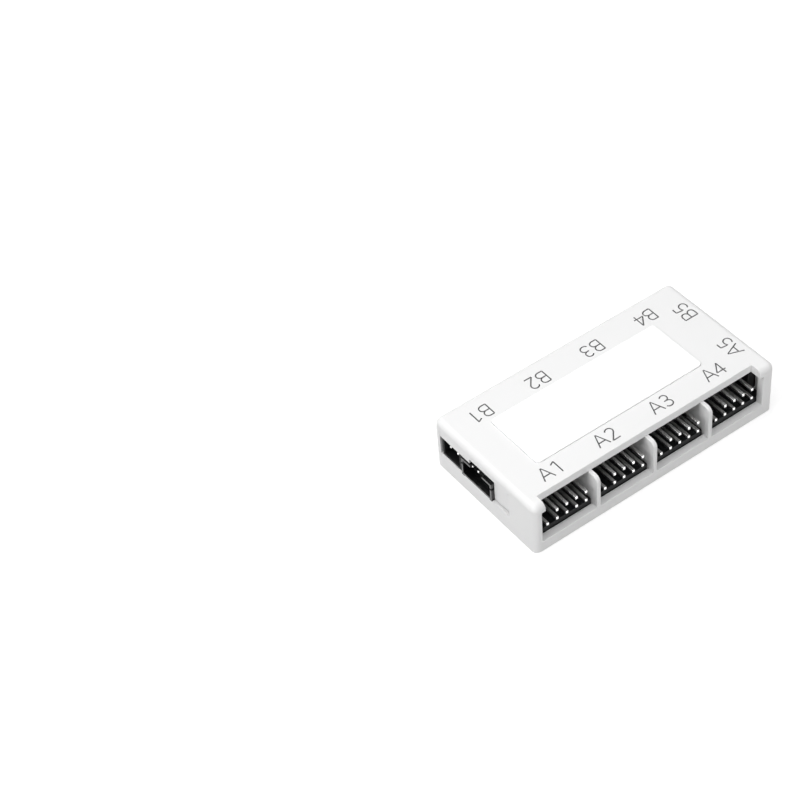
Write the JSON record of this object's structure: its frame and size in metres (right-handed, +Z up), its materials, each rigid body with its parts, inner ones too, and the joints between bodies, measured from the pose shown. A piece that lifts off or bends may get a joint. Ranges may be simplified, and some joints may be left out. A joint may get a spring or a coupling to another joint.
{
  "type": "internal usb header hub",
  "caption": "Flat white housing with rows of header bays along both sides, small sockets in the ends and a bare label plate.",
  "frame": {"origin": "middle of the underside of the housing", "axes": "+X along the long side to the end with ports A5 and B5, -Y out of the front ports A1 to A4, +Z up through the cover"},
  "size_m": [0.0656, 0.034, 0.0139],
  "materials": {
    "white_abs": "moulded, satin",
    "gloss_label": "gloss",
    "board_laminate": "solder mask, satin",
    "black_nylon": "moulded, matte",
    "plated_brass": "plated, bright",
    "chip_epoxy": "matte",
    "metal_can": "satin",
    "fuse_body": "satin"
  },
  "bodies": {
    "root": {"bottom_tray": "white_abs", "top_cover": "white_abs", "label_plate": "gloss_label", "circuit_board": "board_laminate", "header_base_a1": "black_nylon", "header_base_a2": "black_nylon", "header_base_a3": "black_nylon", "header_base_a4": "black_nylon", "header_base_b1": "black_nylon", "header_base_b2": "black_nylon", "header_base_b3": "black_nylon", "header_base_b4": "black_nylon", "header_pins_a1": "plated_brass", "header_pins_a2": "plated_brass", "header_pins_a3": "plated_brass", "header_pins_a4": "plated_brass", "header_pins_b1": "plated_brass", "header_pins_b2": "plated_brass", "header_pins_b3": "plated_brass", "header_pins_b4": "plated_brass", "end_socket_a5": "black_nylon", "end_pins_a5": "plated_brass", "end_socket_b5": "black_nylon", "end_pins_b5": "plated_brass", "data_socket": "black_nylon", "data_pins": "plated_brass", "power_socket": "black_nylon", "power_pins": "plated_brass", "hub_chip_1": "chip_epoxy", "hub_chip_2": "chip_epoxy", "hub_chip_3": "chip_epoxy", "crystal_1": "metal_can", "crystal_2": "metal_can", "crystal_3": "metal_can", "capacitor_1": "metal_can", "capacitor_2": "metal_can", "fuse": "fuse_body"}
  },
  "joints": []
}
